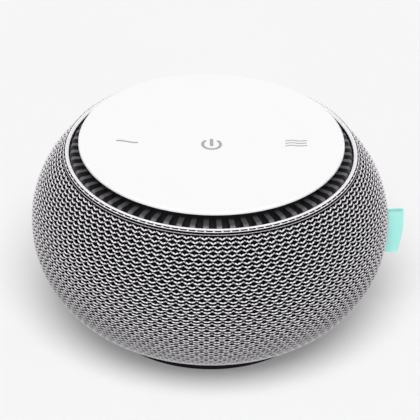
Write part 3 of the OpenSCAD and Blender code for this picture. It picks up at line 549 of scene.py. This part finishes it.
# Each colour's rows are made in a few pieces. Given are the rows in a piece, the yarn's
# sides, half its thickness, and how far out its middle lies.
sleeve = []
for colour, each, sides, thick, out in (
    ("white", 15, 5, 0.22 * mm, 42.64 * mm),
    ("black", 29, 4, 0.27 * mm, 42.58 * mm),
):
    for number, first in enumerate(range(0, row_count, each)):
        rows = range(first, min(first + each, row_count))
        name = f"knit_{colour}_{number + 1}"
        sleeve.append(knit_rows(name, rows, sides, thick, out, colour == "black"))

# The black ground behind the rows, one closed sleeve as thin as the cloth.
ground_out = 42.25 * mm
ground_in = 41.95 * mm
ground_steps = 90
ground_turns = 220
up_side = np.radians(np.linspace(-64.6, 45.0, ground_steps))
angles = np.concatenate([up_side, up_side[::-1]])
outs = np.repeat([ground_out, ground_in], ground_steps)
turns = np.arange(ground_turns) * 2 * np.pi / ground_turns
cloth = on_side(angles[None, :], turns[:, None], outs[None, :])
cloth = grid_piece("knit_ground", cloth[None], black_yarn)
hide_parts("knit_sleeve")
for piece in [cloth, *sleeve]:
    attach(piece, "tone_shell")

# ---- Rim hem ----
# The sleeve's upper edge rolled over a cord and sewn down with one line of stitches.
# White yarn, with two thin drawn threads below it before the zigzag rows begin.
hem_yarn = yarn("hem_yarn", paint(254, 252, 255), paint(226, 220, 228), 0.7)
grey_yarn = yarn("grey_yarn", paint(214, 209, 216), paint(160, 156, 164), 0.75)
hem_samples = 12 * columns


def hem_ring(name, reach, height, radius, sides, material, ripple=0.0):
    """A ring of yarn round the rim, rippled twice a stitch."""
    turn = np.arange(hem_samples) * 2 * np.pi / hem_samples
    wave = 1 + ripple * np.cos((turn - first_dip) * columns * 2)
    path = np.stack([reach * np.cos(turn), reach * np.sin(turn), height + 0 * turn], -1)
    outward = np.stack([np.cos(turn), np.sin(turn), 0 * turn], -1)
    rings = tubes(path[None], outward[None], radius * wave, radius * wave, sides)
    return grid_piece(name, rings, material)


def faced_piece(name, corners, faces, material):
    """A smooth mesh piece from its corners and faces."""
    mesh = bpy.data.meshes.new(name)
    mesh.from_pydata(corners, [], faces)
    mesh.polygons.foreach_set("use_smooth", np.full(len(faces), True))
    mesh.materials.append(material)
    return put(name, mesh)


hem = [
    hem_ring("hem_core", 57.25 * mm, 73.7 * mm, 0.98 * mm, 16, black_yarn, 0.01),
    hem_ring("hem_inner", 56.6 * mm, 74.2 * mm, 0.5 * mm, 10, hem_yarn, 0.03),
    hem_ring("hem_roll", 57.1 * mm, 74.45 * mm, 0.55 * mm, 10, hem_yarn, 0.05),
    hem_ring("hem_groove", 57.91 * mm, 74.28 * mm, 0.19 * mm, 6, black_yarn),
    hem_ring("hem_thread_white", 58.17 * mm, 74.16 * mm, 0.15 * mm, 6, hem_yarn, 0.06),
    hem_ring("hem_shadow", 58.27 * mm, 73.72 * mm, 0.2 * mm, 6, black_yarn),
    hem_ring("hem_thread_grey", 58.52 * mm, 73.1 * mm, 0.13 * mm, 6, grey_yarn, 0.2),
]

# The sewing thread: a short white bridge over the groove between two long dark gaps. The
# groove's side leans outward, so a bridge stands off along that lean. Its half length and
# its shift from the stitch below are shares of a stitch.
bridge_reach = 57.98 * mm
bridge_height = 74.43 * mm
bridge_radius = 0.17 * mm
bridge_rise = 0.16 * mm
bridge_sink = 0.1 * mm
bridge_half = 0.16
bridge_shift = 0.06
bridge_sides = 6
rim_reach = 58 * mm
lean_out = 0.75
lean_up = 0.65
swell = np.array([0.05, 0.8, 1, 1, 0.8, 0.05]) * bridge_radius
bridge_points = len(swell)
span = np.linspace(-1, 1, bridge_points)
lift = bridge_rise * (1 - span ** 4) - bridge_sink
bridges = []
for number in range(columns):
    middle = first_dip + (number + bridge_shift) * 2 * np.pi / columns
    at = middle + span * bridge_half * 2 * np.pi / columns
    reach = bridge_reach + lift * lean_out
    height = bridge_height + lift * lean_up
    bridges.append(np.stack([reach * np.cos(at), reach * np.sin(at), height], -1))
bridges = np.array(bridges)
to_rim = lean_out / rim_reach
outward = bridges * [to_rim, to_rim, 0] + [0, 0, lean_up]
about = 2 * np.pi * np.arange(bridge_sides) / bridge_sides
ahead = np.gradient(bridges, axis=1)
corners = rings_about(bridges, ahead, outward, swell, swell, about).reshape(-1, 3)
faces = []
for number in range(columns):
    start = number * bridge_points * bridge_sides
    end = start + bridge_points * bridge_sides
    for low in range(start, end - bridge_sides, bridge_sides):
        for side in range(bridge_sides):
            high = low + bridge_sides
            beside = (side + 1) % bridge_sides
            faces.append((low + side, high + side, high + beside, low + beside))
    faces.append(tuple(range(start, start + bridge_sides)))
    faces.append(tuple(range(end - bridge_sides, end))[::-1])
hem.append(faced_piece("hem_stitches", corners.tolist(), faces, hem_yarn))
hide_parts("rim_hem")
for piece in hem:
    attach(piece, "tone_shell")

# ---- Side tag ----
# A length of turquoise woven tape folded in two and caught in the sleeve's side seam.
# Both faces are left bare; the selvedges show as a slightly thicker line.
tag_low = 29.3 * mm
tag_high = 48.8 * mm
tag_in = 42.9 * mm
tag_edge = 49.1 * mm
tag_half = 0.56 * mm
fold_at = 0.93
fold_bulge = 0.09
selvedge_share = 0.045
selvedge_extra = 0.22
warp_pitch = 0.00036
weft_pitch = 0.00042
tag_tape, place, feed = finish("tag_tape", Sheen_Weight=0.2, Sheen_Roughness=0.4)
across, _, up = place.parts()
warp = (up * (2 * math.pi / warp_pitch)).sine()
weft = (across * (2 * math.pi / weft_pitch)).sine()
weave = (warp * weft) * 0.5 + 0.5
wear = place.noise(260, 3)
tape = (weave * 0.6 + wear * 0.4).mix(paint(167, 247, 236), paint(186, 253, 246))
feed(tape, 0.55 + weave * 0.2, weave, 4e-5)

# Round the folded tape once: out along one face, about the fold, and back along the other.
# Each point has its share of the way out to the fold, and its distance from the middle. The
# inner line runs close to the middle, so that the two layers lie with a slit between them.
face_points = 14
fold = np.radians(np.linspace(90, -90, 9)[1:-1])
straight = np.linspace(0, 1, face_points)
shares = np.concatenate([straight, 1 + np.cos(fold) * fold_bulge, straight[::-1]])
sides = np.concatenate([np.ones(face_points), np.sin(fold), -np.ones(face_points)])
outer = np.stack([shares, tag_half * sides], -1)
inner = np.stack([np.minimum(shares, 1) * 0.985, outer[:, 1] * 0.12], -1)
loop = np.concatenate([outer, inner[::-1]])
share, off_middle = loop.T

levels = 40
up_share = np.arange(levels)[:, None] / (levels - 1)
heights = np.linspace(tag_low, tag_high, levels)[:, None]
start = side_x + tag_in * np.cos(np.arcsin((heights - belly_z) / tag_in))
end = side_x + tag_edge * np.cos(np.arcsin((heights - belly_z) / tag_edge))
at_selvedge = (up_share < selvedge_share) | (up_share > 1 - selvedge_share)
thicker = 1 + selvedge_extra * at_selvedge
sway = 0.12 * mm * np.sin(up_share * 5 + 1) * share ** 2
droop = (up_share - 0.55) * 0.9 * mm * share
corners = np.stack(
    [
        start + (end - start) * share * fold_at,
        off_middle * thicker + sway,
        heights + droop,
    ],
    -1,
)
count = len(loop)
faces = []
for low in range(0, (levels - 1) * count, count):
    high = low + count
    for side in range(count):
        beside = (side + 1) % count
        faces.append((low + side, low + beside, high + beside, high + side))
for base, flip in ((0, False), ((levels - 1) * count, True)):
    for side in range(count // 2 - 1):
        inside = count - 1 - side
        quad = (base + side, base + inside, base + inside - 1, base + side + 1)
        faces.append(quad if flip else quad[::-1])
tag = faced_piece("side_tag_tape", corners.reshape(-1, 3).tolist(), faces, tag_tape)
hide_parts("side_tag")
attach(tag, "tone_shell")

# ---- Table, light and camera ----
# A pale table that runs out of view in an even white room, with one broad soft light from
# above the front. The camera looks down at the machine from a good metre away.
table_half = 20
even_share = 0.22
dim_room = 0.22
room_white = paint(246, 246, 246)


def seen_in(place):
    """1 for rays that show the background: straight ones, reflections and through glass."""
    straight, mirrored, through = [
        place.node("LightPath", {}, {}, f"Is {kind} Ray")
        for kind in ("Camera", "Glossy", "Transmission")
    ]
    return (straight + mirrored + through).limit(0, 1)


table_white, place, feed = finish("table_white", Specular_IOR_Level=0.1)
top = place.noise(8, 2).mix(paint(242, 242, 242), paint(245, 245, 245))
feed(top, 0.88 + place.noise(8) * 0.04)
even = place.node("Emission", {}, {"Color": room_white, "Strength": 1})
lit = Value(place.tree, place.tree.nodes["Principled BSDF"].outputs[0])
both = place.node("MixShader", {}, {0: seen_in(place) * even_share, 1: lit, 2: even})
place.tree.links.new(both.socket, place.tree.nodes["Material Output"].inputs["Surface"])
corners = [(x * table_half, y * table_half, 0) for x, y in ((-1, -1), (1, -1), (1, 1), (-1, 1))]
table = faced_piece("table", corners, [(0, 1, 2, 3)], table_white)

world = bpy.data.worlds.new("room")
bpy.context.scene.world = world
world.use_nodes = True
walls = Value(world.node_tree, None)
dim = walls.node("Background", {}, {"Color": (1, 1, 1, 1), "Strength": dim_room})
pale = walls.node("Background", {}, {"Color": room_white, "Strength": 1})
both = walls.node("MixShader", {}, {0: seen_in(walls), 1: dim, 2: pale})
world.node_tree.links.new(both.socket, world.node_tree.nodes["World Output"].inputs["Surface"])

light_height = 60
lamp = bpy.data.lights.new("front_light", "SUN")
lamp.angle = math.radians(40)
lamp.energy = 2.94
front_light = put("front_light", lamp)
front_light.rotation_euler = (math.radians(90 - light_height), 0, 0)

back_off = 1.0899
camera_height = 0.7486
aim_height = 0.040
roll = 0.021
tilt = math.atan2(back_off, camera_height - aim_height)
camera_data = bpy.data.cameras.new("camera")
camera_data.sensor_width = 36
camera_data.lens = 278.9
camera_data.shift_x = 0.0005
camera_data.shift_y = 0.0342
camera = put("camera", camera_data)
camera.location = (0, -back_off, camera_height)
camera.rotation_mode = "QUATERNION"
tilt_sine, tilt_cosine = math.sin(tilt / 2), math.cos(tilt / 2)
roll_sine, roll_cosine = math.sin(roll / 2), math.cos(roll / 2)
camera.rotation_quaternion = (
    tilt_cosine * roll_cosine,
    tilt_sine * roll_cosine,
    -tilt_sine * roll_sine,
    tilt_cosine * roll_sine,
)
bpy.context.scene.camera = camera
bpy.context.scene.view_settings.view_transform = "Standard"
